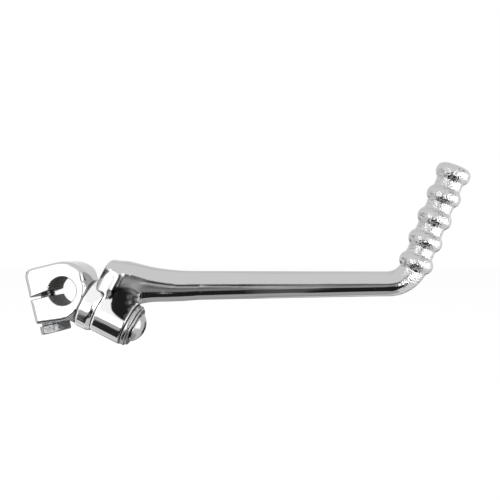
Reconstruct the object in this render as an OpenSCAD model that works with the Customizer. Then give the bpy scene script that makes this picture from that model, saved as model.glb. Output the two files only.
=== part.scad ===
// Folding kick start lever for a small motorcycle, in millimetres.
// The origin is the centre of the splined bore. +Y runs along the kick shaft, away from the rider's
// foot, +X runs along the folded arm and +Z is up.

/* [Splined bore] */
// Diameter to the root of the serrations
spline_root_d = 16; // [14:0.5:18]
// Depth of one serration
spline_depth = 0.5; // [0.3:0.1:0.7]
// Number of serrations
spline_count = 36; // [24:1:40]

/* [Clamp] */
// Outer diameter of the boss round the bore
boss_d = 31; // [30:0.5:34]
// Thickness along the kick shaft
clamp_t = 25; // [20:0.5:28]
// Distance from the bore centre to the end of the two ears
ear_reach = 18.1; // [17.6:0.1:22]
// Distance from the slot's middle to the face under the bolt head
ear_drop = 13.8; // [12.5:0.1:15]
// Radius of the ears' top corner
ear_corner = 4; // [2:0.5:6]
// Rounding of the front and back edges of the clamp
clamp_edge = 1.5; // [0.8:0.1:2]
// Angle by which the slot falls away from the horizontal
slot_tilt = 13.5; // [0:0.5:30]
// Width of the slot at the ends of the ears
slot_w = 1.2; // [0.8:0.1:2]
// Width of the slot where it meets the bore
slot_mouth = 2.8; // [2:0.1:4]

/* [Pinch bolt] */
// Thread diameter
pinch_d = 8; // [6:0.5:8]
// Distance from the bore centre to the bolt's axis
pinch_reach = 12.2; // [12.2:0.1:13]
// Head size across the flats
pinch_flats = 14.8; // [13:0.2:16]
// Head height
pinch_head_h = 4.5; // [4:0.1:6]
// Thickness of the spring washer under the head
pinch_washer_t = 1.8; // [1.2:0.1:2.2]
// Diameter of the spring washer under the head
pinch_washer_d = 13.2; // [12.4:0.2:14.4]
// How far the bolt's end stays below the upper ear's face
pinch_end_depth = 2.4; // [1:0.1:4]

/* [Pivot] */
// Angle by which the pivot axis falls away from the horizontal
pivot_tilt = 26.5; // [20:0.5:32]
// Distance by which the pivot axis passes below the bore centre
pivot_drop = 1.4; // [0:0.1:3]
// Distance along the axis from the bore to the end of the boss
boss_end = 10.7; // [9.5:0.1:11.5]
// Collar diameter
collar_d = 26.8; // [25:0.2:28]
// Distance along the axis from the bore to the collar's outer face
collar_end = 19.9; // [18.5:0.1:21]
// Length of the turned taper at the collar's outer face
collar_taper = 2; // [0.8:0.1:3]
// Width of the turned groove between boss and collar
collar_groove = 1.2; // [0.8:0.1:1.6]
// Spigot diameter
spigot_d = 13; // [12:0.5:14]
// Length of the arm's barrel
barrel_l = 17.3; // [15:0.1:19]
// Diameter of the arm's barrel
barrel_d = 24.2; // [22:0.2:25]

// Angle through which the arm swings out
swing = 90; // [70:5:90]

/* [Pivot bolt and washers] */
// Thread diameter
pivot_bolt_d = 8; // [6:0.5:8]
// Diameter of the domed head
dome_d = 15.8; // [14:0.2:18]
// Height of the domed head
dome_h = 5; // [4:0.1:6]
// Size of the hexagon socket in the domed head
socket_flats = 5; // [4:0.5:5]
// Depth of the hexagon socket
socket_depth = 2.8; // [2:0.1:3.5]
// Thickness of the plain washer
plain_washer_t = 2.2; // [1.6:0.1:3]
// Diameter of the plain washer
plain_washer_d = 23; // [20:0.2:23.4]
// Thickness of the spring washer
wave_washer_t = 1.4; // [1:0.1:2]
// Diameter of the spring washer
wave_washer_d = 21; // [19:0.2:22]

/* [Detent] */
// Ball diameter
ball_d = 4.8; // [4:0.1:5]
// Distance from the pivot axis to the ball
ball_reach = 9.3; // [9.1:0.1:9.6]
// Depth of the ball's track in the collar's face
track_depth = 0.9; // [0.6:0.1:1.2]
// Wire diameter of the ball's spring
spring_wire = 0.7; // [0.5:0.1:0.9]
// Number of turns of the ball's spring
spring_turns = 5; // [4:1:7]
// Free depth of the spring's pocket behind the ball
spring_l = 8; // [6:0.5:9]

/* [Arm head] */
// Distance along the axis from the bore to the stop lug's face
lug_start = 13; // [12:0.1:14]
// Height of the head above the pivot axis
head_top = 27.6; // [25:0.2:29]
// Thickness of the head across the arm
head_t = 20; // [16:0.5:22]
// Rounding of the head's edges
head_round = 3.6; // [2:0.1:4.5]

/* [Beam] */
// Height of the beam's top edge above the bore centre
beam_top = 10.5; // [8:0.1:13]
// Height of the beam near the head
beam_h = 15.4; // [13.5:0.1:17]
// Thickness of the beam near the head
beam_t = 10.6; // [9:0.1:12]
// Diameter of the round stretch at the bend
beam_end_d = 13; // [12:0.1:13.6]
// Distance from the bore centre to the corner of the beam and the pedal
corner_x = 178.9; // [160:0.5:200]
// Radius of the bend along its middle line
bend_r = 15; // [12:0.5:17]
// Angle of the pedal above the beam
pedal_tilt = 67.7; // [55:0.5:75]

/* [Pedal] */
// Number of beads
bead_count = 5; // [4:1:6]
// Distance from one bead to the next
bead_pitch = 12.3; // [11:0.1:14]
// Diameter over a bead
bead_d = 18; // [16:0.2:20]
// Length of a bead
bead_l = 7.7; // [7:0.1:9]
// Diameter of the necks between the beads
neck_d = 13.9; // [13:0.1:15]
// Distance from the bend's corner to the first bead
first_bead = 11.9; // [11.6:0.1:14]
// Height of the flat end above the middle of the last bead
knob_rise = 4.2; // [4:0.1:6]
// Rounding of the flat end
knob_round = 3.5; // [2.5:0.1:3.8]

/* [Clearances] */
// Gap on the radius between spigot and barrel
running_gap = 0.05; // [0.02:0.01:0.1]
// Gap between faces that turn past each other
face_gap = 0.2; // [0.1:0.05:0.3]
// Gap between the collar's rim and the stop lug
lug_gap = 0.35; // [0.3:0.05:0.6]
// Gap on the radius round a bolt's plain shank
shank_gap = 0.2; // [0.1:0.05:0.3]
// Gap on the radius round the ball, its spring and a bolt's thread
thread_gap = 0.04; // [0.02:0.01:0.1]

/* [Hidden] */
$fn = 96;
chrome = "silver";
zinc = "lightsteelblue";

// How far a cutting solid runs past the face that it cuts
past = 1;

boss_r = boss_d / 2;
root_r = spline_root_d / 2;
tip_r = root_r - spline_depth;
collar_r = collar_d / 2;
barrel_start = collar_end + face_gap;
barrel_end = barrel_start + barrel_l;
// The spigot stands proud of the barrel, so the washers clamp on it and the arm turns freely
spigot_end = barrel_end + face_gap;
plain_washer_end = spigot_end + plain_washer_t;
wave_washer_end = plain_washer_end + wave_washer_t;
pinch_top = boss_r - pinch_end_depth;
pinch_head_top = -ear_drop - pinch_washer_t;

// Placing: the clamp's own frame has the ears on -X, the pivot's own frame has its axis on +X
module clamp_frame() rotate([0, -slot_tilt, 0]) children();
module pivot_frame() rotate([0, pivot_tilt, 0]) translate([0, 0, -pivot_drop]) children();
module along_pivot(s) pivot_frame() translate([s, 0, 0]) rotate([0, 90, 0]) children();
module along_shaft() rotate([90, 0, 0]) children();

// A point at distance s along the pivot axis and w above it, in the part's own X and Z
function from_pivot(s, w) = [
    s * cos(pivot_tilt) + (w - pivot_drop) * sin(pivot_tilt),
    -s * sin(pivot_tilt) + (w - pivot_drop) * cos(pivot_tilt)
];

// Side outline of the clamp: a round boss with a block of two ears on its left
module clamp_outline() {
    circle(boss_r);
    difference() {
        translate([-ear_reach, -ear_drop]) square([ear_reach, ear_drop + boss_r]);
        translate([-ear_reach, boss_r - ear_corner]) square(ear_corner);
    }
    translate([ear_corner - ear_reach, boss_r - ear_corner]) circle(ear_corner);
}

// The clamp's blank, with its front and back edges rounded in small steps
module clamp_blank() {
    steps = 5;
    skin = 0.01;
    hull()
        for (side = [-1, 1], step = [0:steps]) {
            angle = 90 * step / steps;
            inset = clamp_edge * (1 - cos(angle));
            level = clamp_t / 2 - clamp_edge * (1 - sin(angle));
            along_shaft() translate([0, 0, side * (level - skin / 2)])
                linear_extrude(skin, center = true) offset(delta = -inset) clamp_outline($fn = 48);
        }
}

// One serration ring: triangular grooves between the bore's teeth
module serration_grooves() {
    pitch = 360 / spline_count;
    base_r = tip_r - spline_depth;
    base_half = root_r * tan(0.45 * pitch);
    for (i = [0:spline_count - 1])
        rotate((i + 0.5) * pitch)
            polygon([[root_r, 0], [base_r, base_half], [base_r, -base_half]]);
}

// The clamping slot, which opens towards the bore on its upper side
module slot_outline() {
    lower = -slot_w * 2 / 3;
    polygon([
        [0, lower], [-ear_reach - past, lower], [-ear_reach - past, lower + slot_w],
        [-root_r, lower + slot_mouth], [0, lower + slot_mouth]
    ]);
}

// The clamp's blank is turned down to a cone where it meets the collar
module knuckle_blank() {
    shoulder_slope = 1;
    collar_fall = 0.8;
    intersection() {
        clamp_frame() clamp_blank();
        along_pivot(boss_end - 2 * boss_d)
            cylinder(r1 = collar_r + 2 * shoulder_slope * boss_d, r2 = collar_r, h = 2 * boss_d);
    }
    along_pivot(0) {
        cylinder(r = collar_r - collar_groove / 2, h = collar_end - past);
        translate([0, 0, boss_end + collar_groove])
            cylinder(r = collar_r, h = collar_end - boss_end - collar_groove - collar_taper);
        translate([0, 0, collar_end - collar_taper])
            cylinder(r1 = collar_r, r2 = collar_r - collar_fall, h = collar_taper);
        cylinder(d = spigot_d, h = spigot_end);
    }
}

// The track that the ball follows through a quarter turn in the collar's face
module ball_track() {
    ball_r = ball_d / 2 + thread_gap;
    track_half = sqrt(ball_r * ball_r - pow(ball_r - track_depth, 2)) + thread_gap;
    along_pivot(collar_end - track_depth) {
        rotate(180) rotate_extrude(angle = swing)
            translate([ball_reach - track_half, 0]) square([2 * track_half, 2 * track_depth]);
        for (angle = [180, 180 + swing])
            rotate(angle) translate([ball_reach, 0, 0]) cylinder(r = track_half, h = 2 * track_depth);
    }
}

module knuckle() {
    bolt_hole_r = pinch_d / 2;
    color(chrome)
        difference() {
            knuckle_blank();
            along_shaft() cylinder(r = tip_r, h = clamp_t + 2 * past, center = true);
            clamp_frame() {
                along_shaft() linear_extrude(clamp_t + 2 * past, center = true) {
                    serration_grooves();
                    slot_outline();
                }
                translate([-pinch_reach, 0, -ear_drop - past])
                    cylinder(r = bolt_hole_r + shank_gap, h = ear_drop + past);
                translate([-pinch_reach, 0, -past])
                    cylinder(r = bolt_hole_r + thread_gap, h = boss_r + 2 * past);
                // Spot face under the bolt's washer
                translate([-pinch_reach, 0, -boss_r - past])
                    cylinder(r = pinch_washer_d / 2 + shank_gap, h = boss_r + past - ear_drop);
            }
            along_pivot(barrel_start)
                cylinder(r = pivot_bolt_d / 2 + thread_gap, h = spigot_end - barrel_start + past);
            ball_track();
        }
}

// Sections of the head and the beam, each one [distance past the head's corner, height of its top
// above the beam's, height, lean, half thickness, draft towards its foot, squareness above its
// middle, squareness below]
neck_sections = [
    [8.6, 5.2, 25.4, pivot_tilt, head_t / 2, 0.02, 3, 8],
    [12.5, 4.35, 25.2, pivot_tilt, 0.47 * head_t, 0.1, 2.9, 5],
    [17, 3.2, 24.6, pivot_tilt, 0.78 * beam_t, 0.18, 2.7, 3.4],
    [22.5, 1.95, 22.6, pivot_tilt, 0.67 * beam_t, 0.18, 2.5, 2.8],
    [29.5, 0.9, beam_h + 3.8, 0.9 * pivot_tilt, 0.575 * beam_t, 0.08, 2.4, 2.5],
    [38, 0.15, beam_h + 1.7, 0.6 * pivot_tilt, 0.52 * beam_t, 0, 2.3, 2.3],
    [48, 0, beam_h, 0.15 * pivot_tilt, 0.5 * beam_t, 0, 2.3, 2.3]
];

// The rounded left end of the head, then the neck's sections, then the round stretch at the bend
head_corner = from_pivot(lug_start, head_top);
head_steps = 5;
head_sections = [
    for (step = [0:head_steps])
        let (
            angle = 90 * step / head_steps,
            inset = head_round * (1 - sin(angle)),
            top = from_pivot(lug_start + head_round * (1 - cos(angle)), head_top - inset)
        )
        [
            top.x - head_corner.x, top.y - beam_top, head_top - inset - collar_r / 2,
            pivot_tilt, head_t / 2 - 1.5 * inset, 0, 3, 8
        ]
];
bend_tangent = bend_r * tan(pedal_tilt / 2);
bend_start = corner_x - bend_tangent;
bend_section = [bend_start - head_corner.x, 0, beam_end_d, 0, beam_end_d / 2, 0, 2, 2];
beam_rows = concat(
    head_sections, neck_sections, [bend_section + [-14, 0, 0.2, 0, -0.25, 0, 0.08, 0.08], bend_section]
);

// A smooth curve through four values, for t from 0 to 1 between the middle two
function blend(a, b, c, d, t) = 0.5 * (2 * b + (c - a) * t + (2 * a - 5 * b + 4 * c - d) * t * t
    + (3 * b - 3 * c + d - a) * t * t * t);
function row(i) = beam_rows[max(0, min(len(beam_rows) - 1, i))];
long_row = head_steps + len(neck_sections);
function blend_rows(i, t) = i == long_row
    ? row(i) + (row(i + 1) - row(i)) * t
    : blend(row(i - 1), row(i), i + 1 == long_row ? row(i + 1) : row(i + 1),
        i + 1 == long_row ? row(i + 1) + (row(i + 1) - row(i)) : row(i + 2), t);

section_points = 48;
// Outline of one section round its middle, with the height measured along the lean
function section_shape(height, half_t, draft, top_power, low_power) = [
    for (k = [0:section_points - 1])
        let (
            angle = 360 * (k + 0.5) / section_points,
            power = angle < 180 ? top_power : low_power,
            across = sign(cos(angle)) * pow(abs(cos(angle)), 2 / power),
            up = sign(sin(angle)) * pow(abs(sin(angle)), 2 / power),
            narrowing = 1 - draft * (1 - up) / 2
        )
        [half_t * across * narrowing, height / 2 * up]
];
function beam_section(r) = let (
        top = [head_corner.x + r[0], beam_top + r[1]],
        lean = [sin(r[3]), cos(r[3])],
        middle = top - lean * r[2] / 2
    )
    [for (p = section_shape(r[2], r[4], r[5], r[6], r[7]))
        [middle.x + lean.x * p.y, p.x, middle.y + lean.y * p.y]];
// Sections round the bend, turning about its centre above the beam
bend_z = beam_top - beam_end_d / 2;
function bend_ring(share) = let (
        angle = pedal_tilt * share,
        radius = beam_end_d / 2 + (neck_d - beam_end_d) / 2 * share,
        out = [sin(angle), -cos(angle)],
        middle = [bend_start, bend_z + bend_r] + bend_r * out
    )
    [for (p = section_shape(2 * radius, radius, 0, 2, 2))
        [middle.x - out.x * p.y, p.x, middle.y - out.y * p.y]];

sub_steps = 3;
bend_steps = 8;
beam_rings = concat(
    [for (i = [0:head_steps]) beam_section(row(i))],
    [for (i = [head_steps:long_row - 1], step = [1:sub_steps]) beam_section(blend_rows(i, step / sub_steps))],
    [for (i = [long_row:long_row + 1], step = [1:2]) beam_section(blend_rows(i, step / 2))],
    [for (step = [1:bend_steps]) bend_ring(step / bend_steps)]
);

// A closed solid through a row of rings that all have as many points
module loft(rings) {
    n = len(rings[0]);
    last = len(rings) - 1;
    sides = [
        for (i = [0:last - 1], k = [0:n - 1])
            let (next = (k + 1) % n)
            each [
                [i * n + k, (i + 1) * n + k, i * n + next],
                [i * n + next, (i + 1) * n + k, (i + 1) * n + next]
            ]
    ];
    start_cap = [for (k = [0:n - 1]) k];
    end_cap = [for (k = [n - 1:-1:0]) last * n + k];
    polyhedron([for (ring = rings) each ring], concat(sides, [start_cap, end_cap]));
}

// Half outline of one bead: a circle that bulges out of the neck
bead_rise = (bead_d - neck_d) / 2;
bead_arc = (pow(bead_l / 2, 2) + bead_rise * bead_rise) / (2 * bead_rise);
module bead_outline() translate([bead_d / 2 - bead_arc, 0]) circle(bead_arc);

// Turned pedal: beads on a straight neck, with a flat rounded knob at the end
module pedal() {
    knob_at = first_bead + (bead_count - 1) * bead_pitch;
    pedal_end = knob_at + knob_rise;
    rotate_extrude()
        intersection() {
            square([bead_d, pedal_end]);
            union() {
                translate([0, bend_tangent]) square([neck_d / 2, knob_at - bend_tangent]);
                for (i = [0:bead_count - 1])
                    translate([0, first_bead + i * bead_pitch]) bead_outline();
                translate([0, knob_at]) square([bead_d / 2, knob_rise - knob_round]);
                translate([0, knob_at]) square([bead_d / 2 - knob_round, knob_rise]);
                translate([bead_d / 2 - knob_round, pedal_end - knob_round]) circle(knob_round);
            }
        }
}

module ball_pocket() {
    pivot_frame() translate([barrel_start - past, 0, ball_reach]) rotate([0, 90, 0])
        cylinder(r = ball_d / 2 + thread_gap, h = spring_l + ball_d + past);
}

module arm() {
    spot_face_r = max(plain_washer_d, wave_washer_d) / 2 + lug_gap;
    color(chrome)
        difference() {
            union() {
                loft(beam_rings);
                along_pivot(barrel_start) cylinder(d = barrel_d, h = barrel_l);
                translate([corner_x, 0, bend_z]) rotate([0, 90 - pedal_tilt, 0]) pedal();
            }
            along_pivot(lug_start - past)
                cylinder(r = collar_r + lug_gap, h = barrel_start - lug_start + past);
            along_pivot(barrel_start - past)
                cylinder(r = spigot_d / 2 + running_gap, h = barrel_l + 2 * past);
            along_pivot(barrel_end) cylinder(r = spot_face_r, h = barrel_l);
            ball_pocket();
        }
}

// Hexagon head bolt with a domed chamfer on its head
module pinch_bolt() {
    corners = pinch_flats / cos(30);
    chamfer = 1;
    color(zinc)
        clamp_frame() translate([-pinch_reach, 0, 0]) {
            translate([0, 0, pinch_head_top])
                cylinder(d = pinch_d, h = pinch_top - pinch_head_top);
            intersection() {
                translate([0, 0, pinch_head_top - pinch_head_h])
                    cylinder(d = corners, h = pinch_head_h, $fn = 6);
                translate([0, 0, pinch_head_top - pinch_head_h])
                    cylinder(
                        d1 = corners - 3 * chamfer,
                        d2 = corners + 6 * pinch_head_h,
                        h = pinch_head_h + chamfer
                    );
            }
        }
}

// Split spring washer under the pinch bolt's head
module pinch_washer() {
    split = 1;
    color(zinc)
        clamp_frame() translate([-pinch_reach, 0, pinch_head_top])
            difference() {
                cylinder(d = pinch_washer_d, h = pinch_washer_t);
                translate([0, 0, -past])
                    cylinder(r = pinch_d / 2 + shank_gap, h = pinch_washer_t + 2 * past);
                translate([0, -split / 2, -past])
                    cube([pinch_washer_d, split, pinch_washer_t + 2 * past]);
            }
}

// Flat ring with a small chamfer on its outer edge, lying on the pivot bolt's axis
module pivot_ring(start, thickness, outer_d) {
    edge = 0.3;
    along_pivot(start)
        difference() {
            union() {
                cylinder(d = outer_d, h = thickness - edge);
                translate([0, 0, thickness - edge])
                    cylinder(d1 = outer_d, d2 = outer_d - 2 * edge, h = edge);
            }
            translate([0, 0, -past])
                cylinder(r = pivot_bolt_d / 2 + shank_gap, h = thickness + 2 * past);
        }
}

module plain_washer() color(chrome) pivot_ring(spigot_end, plain_washer_t, plain_washer_d);
module wave_washer() color(zinc) pivot_ring(plain_washer_end, wave_washer_t, wave_washer_d);

// Domed pivot bolt, screwed into the spigot
module pivot_bolt() {
    rim_h = 1.2;
    dome_rise = dome_h - rim_h;
    dome_r = (pow(dome_d / 2, 2) + dome_rise * dome_rise) / (2 * dome_rise);
    bolt_start = barrel_start + past;
    color(chrome)
        along_pivot(wave_washer_end) {
            difference() {
                rotate_extrude()
                    intersection() {
                        square([dome_d / 2, dome_h]);
                        translate([0, dome_h - dome_r]) circle(dome_r);
                    }
                translate([0, 0, dome_h - socket_depth])
                    cylinder(d = socket_flats / cos(30), h = socket_depth + past, $fn = 6);
            }
            translate([0, 0, bolt_start - wave_washer_end])
                cylinder(d = pivot_bolt_d, h = wave_washer_end - bolt_start);
        }
}

// Steel ball that clicks the arm into its two places
module detent_ball() {
    color(zinc)
        pivot_frame()
            translate([collar_end - track_depth + ball_d / 2 + thread_gap, 0, ball_reach]) sphere(d = ball_d);
}

// Coil spring behind the ball: a round wire swept along a helix
module detent_spring() {
    start = collar_end - track_depth + ball_d + 2 * thread_gap + spring_wire / 2;
    end = barrel_start + spring_l + ball_d - spring_wire / 2 - thread_gap;
    coil_r = ball_d / 2 - spring_wire / 2 - 0.2;
    turn_steps = 12;
    wire_sides = 8;
    steps = spring_turns * turn_steps;
    rings = [
        for (i = [0:steps])
            let (turn = 360 * i / turn_steps, x = start + (end - start) * i / steps)
            [for (k = [0:wire_sides - 1])
                let (
                    angle = 360 * k / wire_sides,
                    r = coil_r + spring_wire / 2 * cos(angle)
                )
                [x + spring_wire / 2 * sin(angle), r * cos(turn), r * sin(turn)]]
    ];
    color(zinc) pivot_frame() translate([0, 0, ball_reach]) loft(rings);
}

knuckle();
arm();
pinch_bolt();
pinch_washer();
plain_washer();
wave_washer();
pivot_bolt();
detent_ball();
detent_spring();
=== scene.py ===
import math

import bpy
import numpy as np
from mathutils import Matrix, Vector


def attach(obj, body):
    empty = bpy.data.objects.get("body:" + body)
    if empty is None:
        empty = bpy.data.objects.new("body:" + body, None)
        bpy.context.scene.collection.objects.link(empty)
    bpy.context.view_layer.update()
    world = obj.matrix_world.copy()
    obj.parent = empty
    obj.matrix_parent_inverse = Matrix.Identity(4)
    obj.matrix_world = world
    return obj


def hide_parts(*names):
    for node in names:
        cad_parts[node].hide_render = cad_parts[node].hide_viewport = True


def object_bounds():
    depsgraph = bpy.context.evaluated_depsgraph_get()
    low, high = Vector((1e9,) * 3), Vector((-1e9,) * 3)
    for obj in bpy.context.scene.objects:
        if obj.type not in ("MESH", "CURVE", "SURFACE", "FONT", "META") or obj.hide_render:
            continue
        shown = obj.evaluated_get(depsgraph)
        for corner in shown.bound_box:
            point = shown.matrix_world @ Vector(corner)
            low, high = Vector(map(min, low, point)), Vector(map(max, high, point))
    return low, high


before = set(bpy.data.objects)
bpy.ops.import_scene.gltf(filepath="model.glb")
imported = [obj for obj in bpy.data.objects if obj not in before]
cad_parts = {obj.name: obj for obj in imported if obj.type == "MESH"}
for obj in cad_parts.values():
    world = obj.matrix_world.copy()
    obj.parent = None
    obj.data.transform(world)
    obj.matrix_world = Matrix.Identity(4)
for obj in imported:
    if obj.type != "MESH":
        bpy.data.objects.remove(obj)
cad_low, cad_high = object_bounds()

bl_info = {
    "name": "Folding kick start lever",
    "version": (1, 0, 0),
    "blender": (4, 5, 0),
    "location": "View3D > Sidebar > Lever",
    "description": "Chromed kick start lever with its fasteners, dressed over its packed frame",
    "category": "Object",
}

MM = 0.001

# In degrees: the clamp's slot falls to the left, and the pivot axis falls to the right
SLOT_TILT = -13.5
PIVOT_TILT = 26.5

# Sizes in mm, as in the solids, down to the next heading
PIVOT_DROP = 1.4          # how far the pivot axis passes below the shaft's axis
PINCH_REACH = 12.2        # from the shaft's axis to the pinch bolt
SHANK_R = 4.0             # both bolts are M8

# Places along the pivot axis, and the radii there
BOSS_END = 10.7
COLLAR_START, COLLAR_R = 11.9, 13.4
BARREL_START, BARREL_R = 20.1, 12.1
SPIGOT_END = 37.6
PLAIN_WASHER_END = 39.8
WAVE_WASHER_END = 41.2
WASHER_BORE_R, PLAIN_WASHER_R, WAVE_WASHER_R = 4.2, 11.5, 10.5
DOME_R, DOME_H, DOME_RIM = 7.9, 5.0, 1.0
SOCKET_DEPTH = 2.8

# Places along the pinch bolt, from the middle of the slot
HEAD_LOW, HEAD_HIGH, SHANK_TOP = -20.1, -15.6, 13.1
HEAD_FLATS = 14.8
SPLIT_WASHER_LOW, SPLIT_WASHER_HIGH = -15.55, -13.85
SPLIT_WASHER_BORE_R, SPLIT_WASHER_R = 4.25, 6.55

# Lower edge of the neck's root on the barrel, as (distance along the pivot axis, height above it)
ROOT_LINE = ((22.8, 12.5), (23.6, 11.0), (24.9, 8.8), (25.7, 6.8), (26.7, 5.2), (28.3, 3.9),
             (31.1, 2.9), (34.1, 2.4), (36.5, 2.3))
ROOT_TOP = 18.0
# Half width of the neck's waist, from the head to the barrel's end
WAIST_ALONG, WAIST_HALF = (24.9, 36.5), (8.8, 6.0)
HEAD_HALF = 9.85


def linear(code):
    """Linear colour of an sRGB hex value."""
    parts = [int(code[i:i + 2], 16) / 255 for i in (0, 2, 4)]
    return tuple(p / 12.92 if p <= 0.04045 else ((p + 0.055) / 1.055) ** 2.4 for p in parts)


def clamp_place():
    """From the pinch bolt's own frame, with the bolt along +Z, to the row's frame."""
    tilt = Matrix.Rotation(math.radians(SLOT_TILT), 4, "Y")
    return tilt @ Matrix.Translation((-PINCH_REACH * MM, 0, 0))


def pivot_place():
    """From a turned part's own frame, with its axis along +Z, to the pivot axis."""
    drop = Matrix.Translation((0, 0, -PIVOT_DROP * MM))
    lay = Matrix.Rotation(math.radians(90), 4, "Y")
    return Matrix.Rotation(math.radians(PIVOT_TILT), 4, "Y") @ drop @ lay


# ---------------------------------------------------------------- helpers for modelling

def start_clean():
    """Leave edit mode and deselect everything."""
    if bpy.context.object and bpy.context.object.mode != "OBJECT":
        bpy.ops.object.mode_set(mode="OBJECT")
    bpy.ops.object.select_all(action="DESELECT")


def take(piece):
    """Make one piece the only selected and the active one."""
    start_clean()
    piece.select_set(True)
    bpy.context.view_layer.objects.active = piece


def edit(piece, mode="VERT", chosen="SELECT"):
    """Open a piece in edit mode, with everything selected unless "DESELECT" is asked for."""
    take(piece)
    bpy.ops.object.mode_set(mode="EDIT")
    bpy.ops.mesh.select_mode(type=mode)
    bpy.ops.mesh.select_all(action=chosen)


def pick(piece, test, kind="vertices"):
    """Select the vertices, edges or faces that pass a test, from edit mode and back to it."""
    bpy.ops.object.mode_set(mode="OBJECT")
    for item in getattr(piece.data, kind):
        item.select = bool(test(item))
    bpy.ops.object.mode_set(mode="EDIT")


def apply_place(piece):
    """Move a piece's place, turn and scale into its mesh."""
    take(piece)
    bpy.ops.object.transform_apply(location=True, rotation=True, scale=True)


def apply_modifier(piece, kind, **settings):
    """Add one modifier, set it and apply it."""
    take(piece)
    modifier = piece.modifiers.new(kind.title(), kind)
    for key, value in settings.items():
        setattr(modifier, key, value)
    bpy.ops.object.modifier_apply(modifier=modifier.name)


def cut(piece, tool, operation):
    """Keep what the operation leaves of a piece, and throw the tool away."""
    apply_modifier(piece, "BOOLEAN", operation=operation, solver="EXACT", object=tool)
    bpy.data.objects.remove(tool)


def polish(piece, name, chosen, rounds):
    """Round off the points that an array chooses, as a polishing wheel does."""
    group = piece.vertex_groups.new(name=name)
    group.add(np.flatnonzero(chosen).tolist(), 1.0, "REPLACE")
    apply_modifier(piece, "SMOOTH", factor=0.5, iterations=rounds, vertex_group=name)


def settle(piece, place):
    """Put a piece modelled in its own frame at its place, and move that place into its mesh."""
    piece.matrix_world = place
    apply_place(piece)


def outward(piece):
    """Merge doubles and turn every face outwards."""
    edit(piece)
    bpy.ops.mesh.remove_doubles(threshold=1e-6)
    bpy.ops.mesh.normals_make_consistent(inside=False)
    bpy.ops.object.mode_set(mode="OBJECT")


def smooth(piece, angle):
    """Smooth shading, with edges sharper than the angle kept crisp."""
    take(piece)
    bpy.ops.object.shade_smooth_by_angle(angle=math.radians(angle))


def join(pieces, name):
    """Join pieces into the first one."""
    start_clean()
    for piece in pieces:
        piece.select_set(True)
    bpy.context.view_layer.objects.active = pieces[0]
    bpy.ops.object.join()
    pieces[0].name = name
    return pieces[0]


def copy_of_node(node, name):
    """A piece with a merged copy of a CAD node's mesh. The node itself stays as it is."""
    start_clean()
    piece = bpy.data.objects.new(name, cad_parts[node].data.copy())
    bpy.context.scene.collection.objects.link(piece)
    piece.data.materials.clear()
    edit(piece)
    bpy.ops.mesh.remove_doubles(threshold=2e-6)
    bpy.ops.object.mode_set(mode="OBJECT")
    return piece


def points_of(piece):
    """The mesh's points as an array of rows, in metres."""
    place = np.empty(len(piece.data.vertices) * 3)
    piece.data.vertices.foreach_get("co", place)
    return place.reshape(-1, 3)


def pivot_points(piece):
    """The mesh's points in the pivot's own frame, with its axis along the last column, in mm."""
    turn = np.array(pivot_place().inverted())
    return (points_of(piece) @ turn[:3, :3].T + turn[:3, 3]) / MM


def soft_step(values, low, high):
    """Smooth step over an array, from 0 at low to 1 at high."""
    share = np.clip((values - low) / (high - low), 0, 1)
    return share * share * (3 - 2 * share)


def soft_band(values, low, full, fade, high):
    """Smooth band over an array: 0 up to low, 1 from full to fade and 0 from high on."""
    return soft_step(values, low, full) * (1 - soft_step(values, fade, high))


def paint(piece, name, mark):
    """Store a value for every point in an attribute that a material reads."""
    layer = piece.data.attributes.new(name, "FLOAT", "POINT")
    layer.data.foreach_set("value", mark.astype(np.float32))


def paint_turned_highlight(piece, start, radius):
    """Mark the skin that was turned round the pivot, from a place along its axis on, for a painted highlight:
    a brighter plate colour there. In mm.
    """
    local = pivot_points(piece)
    reach = np.hypot(local[:, 0], local[:, 1])
    mark = soft_step(local[:, 2], start - 0.3, start + 0.1)
    paint(piece, "turned", mark * (1 - soft_step(reach, radius + 0.2, radius + 0.7)))


def turned_ring(name, inner, outer, low, high, edge, segments=3, steps=96, gap=0):
    """A flat ring with rounded edges about +Z: its section is a plane that is bevelled and spun. In mm.

    A gap, in radians, keeps the ring open, with the section as its two ends."""
    start_clean()
    bpy.ops.mesh.primitive_plane_add(size=1, location=(0, 0, 0))
    piece = bpy.context.object
    piece.name = name
    piece.scale = ((outer - inner) * MM, (high - low) * MM, 1)
    piece.rotation_euler = (math.radians(90), 0, 0)
    piece.location = ((inner + outer) / 2 * MM, 0, (low + high) / 2 * MM)
    apply_place(piece)
    edit(piece)
    bpy.ops.mesh.bevel(offset=edge * MM, segments=segments, affect="VERTICES")
    bpy.ops.mesh.select_all(action="SELECT")
    if not gap:
        bpy.ops.mesh.delete(type="ONLY_FACE")
        bpy.ops.mesh.select_all(action="SELECT")
    bpy.ops.mesh.spin(steps=steps, angle=2 * math.pi - gap, center=(0, 0, 0), axis=(0, 0, 1))
    bpy.ops.object.mode_set(mode="OBJECT")
    outward(piece)
    return piece


def bar(sides, radius, low, high, turn=0):
    """A bar about +Z between two heights, turned by an angle. In mm and degrees."""
    start_clean()
    bpy.ops.mesh.primitive_cylinder_add(
        vertices=sides, radius=radius * MM, depth=(high - low) * MM,
        location=(0, 0, (low + high) / 2 * MM), rotation=(0, 0, math.radians(turn)))
    piece = bpy.context.object
    apply_place(piece)
    return piece


def bevel_end(piece, height, size, segments):
    """Bevel a bar's edges at one height, from edit mode and back to it. In mm."""
    def at_end(edge):
        return all(abs(piece.data.vertices[v].co.z / MM - height) < 0.01 for v in edge.vertices)
    bpy.ops.mesh.select_all(action="DESELECT")
    pick(piece, at_end, "edges")
    bpy.ops.mesh.bevel(offset=size * MM, segments=segments)


def corner_radius(flats):
    """Radius over a hexagon's corners, from its width across flats."""
    return flats / 2 / math.cos(math.radians(30))


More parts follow.
